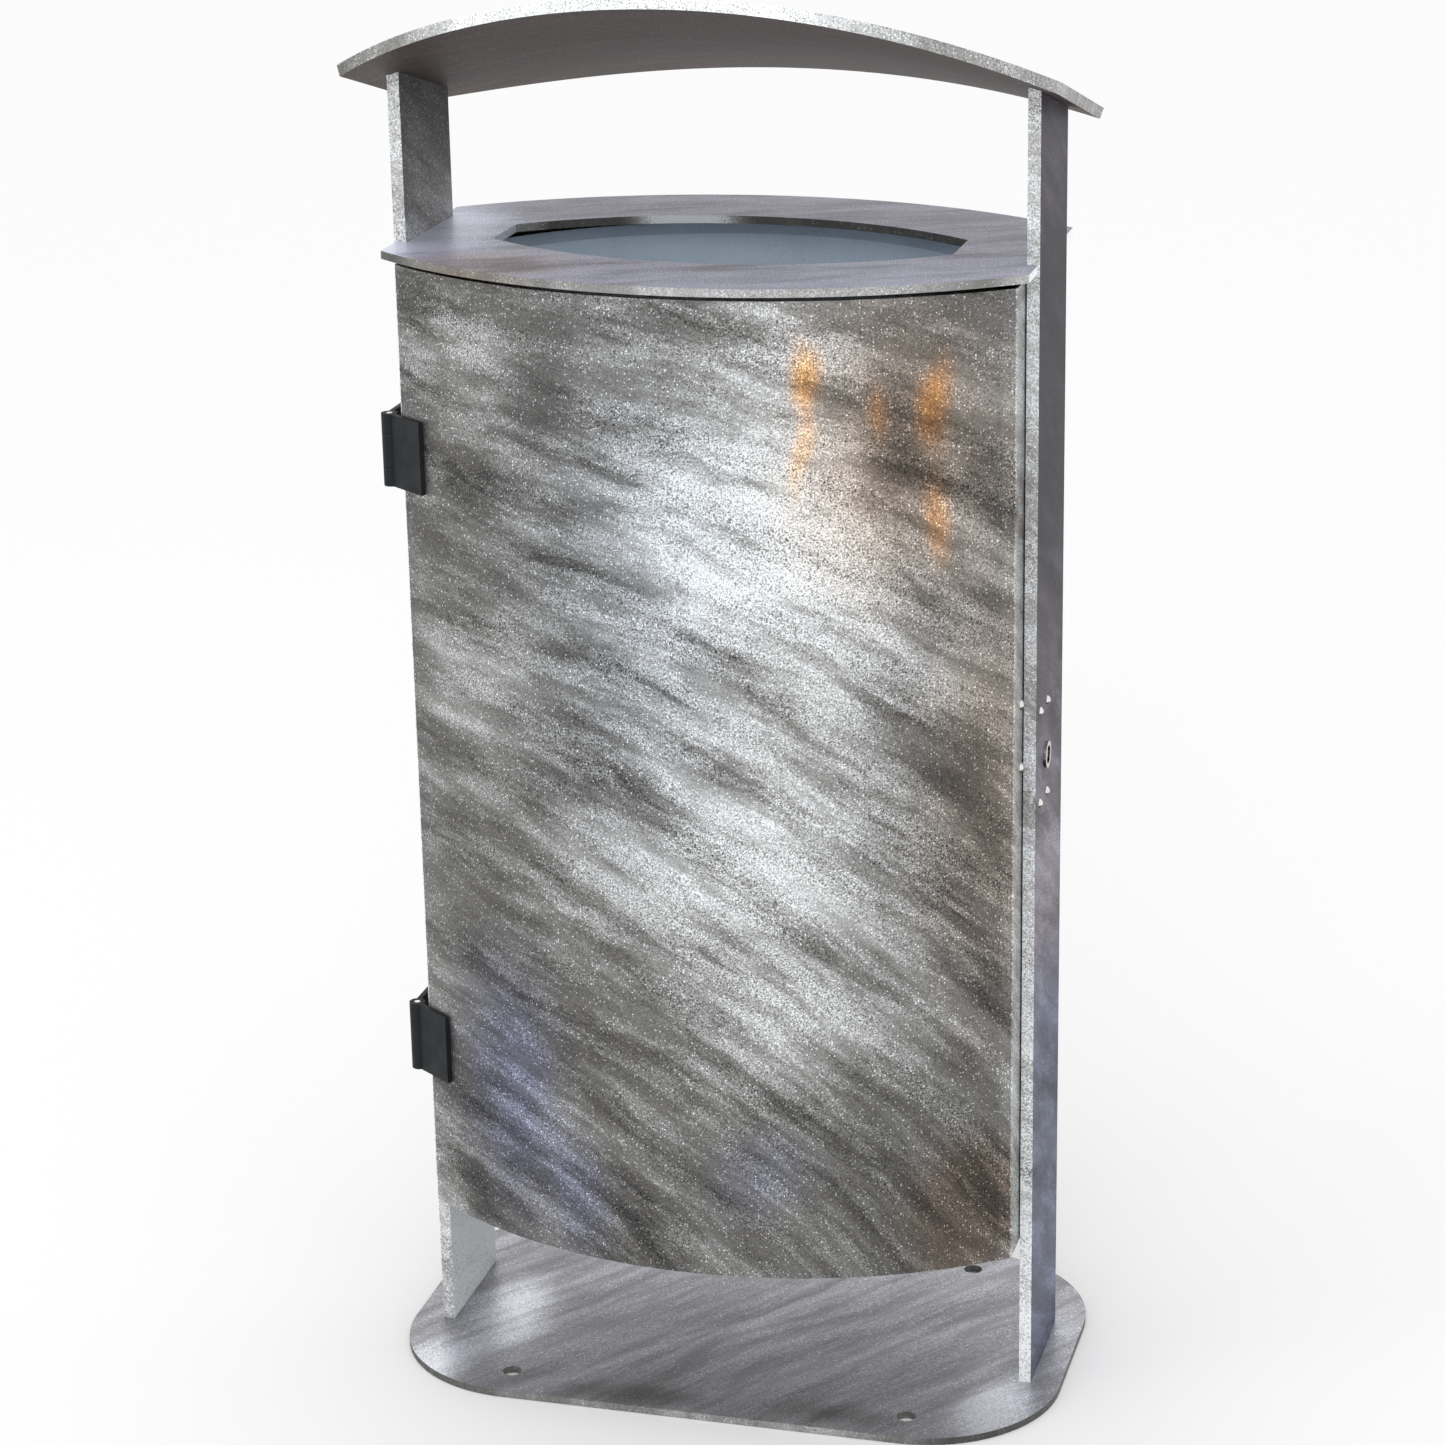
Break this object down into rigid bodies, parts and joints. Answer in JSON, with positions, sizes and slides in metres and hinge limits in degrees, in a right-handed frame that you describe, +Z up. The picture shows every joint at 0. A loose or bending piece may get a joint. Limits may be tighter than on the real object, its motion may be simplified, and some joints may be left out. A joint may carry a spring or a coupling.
{
  "type": "outdoor litter bin",
  "caption": "Free-standing galvanised litter bin with an arched roof, a lens-shaped body, a side-hinged lockable door and a lift-out liner.",
  "frame": {"origin": "centre of the base plate's underside, at ground level", "axes": "+Z up, -Y towards the door side, +X towards the lock side"},
  "size_m": [0.574, 0.3851, 1.1807],
  "materials": {
    "galvanised_plate": "hot-dip galvanised, mottled",
    "galvanised_sheet": "hot-dip galvanised, streaked and sparkling",
    "liner_sheet": "smooth galvanised sheet",
    "hinge_plastic": "matte black glass-filled plastic",
    "fastener_steel": "plain stainless steel",
    "lock_chrome": "satin nickel plate",
    "buffer_rubber": "black moulded rubber"
  },
  "bodies": {
    "frame": {"base_plate": "galvanised_plate", "upright_left": "galvanised_plate", "upright_right": "galvanised_plate", "roof_plate": "galvanised_plate", "top_plate": "galvanised_plate", "rear_panel": "galvanised_sheet", "rear_bottom_rib": "galvanised_sheet", "rear_top_rib": "galvanised_sheet", "liner_shelf": "galvanised_plate", "hinge_frame_leaf_upper": "hinge_plastic", "hinge_frame_leaf_lower": "hinge_plastic", "hinge_pin_upper": "fastener_steel", "hinge_pin_lower": "fastener_steel", "hinge_frame_studs": "fastener_steel", "hinge_frame_nuts": "fastener_steel", "lock_case": "fastener_steel", "lock_cylinder": "lock_chrome", "lock_ring_nut": "fastener_steel", "lock_rivets": "fastener_steel", "door_stop_tabs": "galvanised_plate", "door_buffers": "buffer_rubber"},
    "door": {"door_skin": "galvanised_sheet", "door_bottom_rib": "galvanised_sheet", "door_top_rib": "galvanised_sheet", "hinge_door_leaf_upper": "hinge_plastic", "hinge_door_leaf_lower": "hinge_plastic", "hinge_door_studs": "fastener_steel", "hinge_door_nuts": "fastener_steel", "strike_bracket": "fastener_steel", "strike_rivets": "fastener_steel"},
    "lock": {"lock_plug": "lock_chrome", "lock_cam": "fastener_steel", "lock_cam_screw": "fastener_steel"},
    "liner": {"liner_shell": "liner_sheet", "liner_band": "liner_sheet", "liner_bottom_plate": "liner_sheet", "liner_rim": "liner_sheet"}
  },
  "joints": [
    {"name": "door_swing", "type": "hinge", "parent": "frame", "child": "door", "pos_m": [-0.2635, -0.083, 0.5435], "axis": [0, 0, -1], "range_deg": [0, 130]},
    {"name": "lock_turn", "type": "hinge", "parent": "frame", "child": "lock", "pos_m": [0.245, -0.0146, 0.554], "axis": [-1, 0, 0], "range_deg": [0, 90]},
    {"name": "liner_lift", "type": "slide", "parent": "frame", "child": "liner", "axis": [0, 0, 1], "range_m": [0, 0.008]}
  ]
}
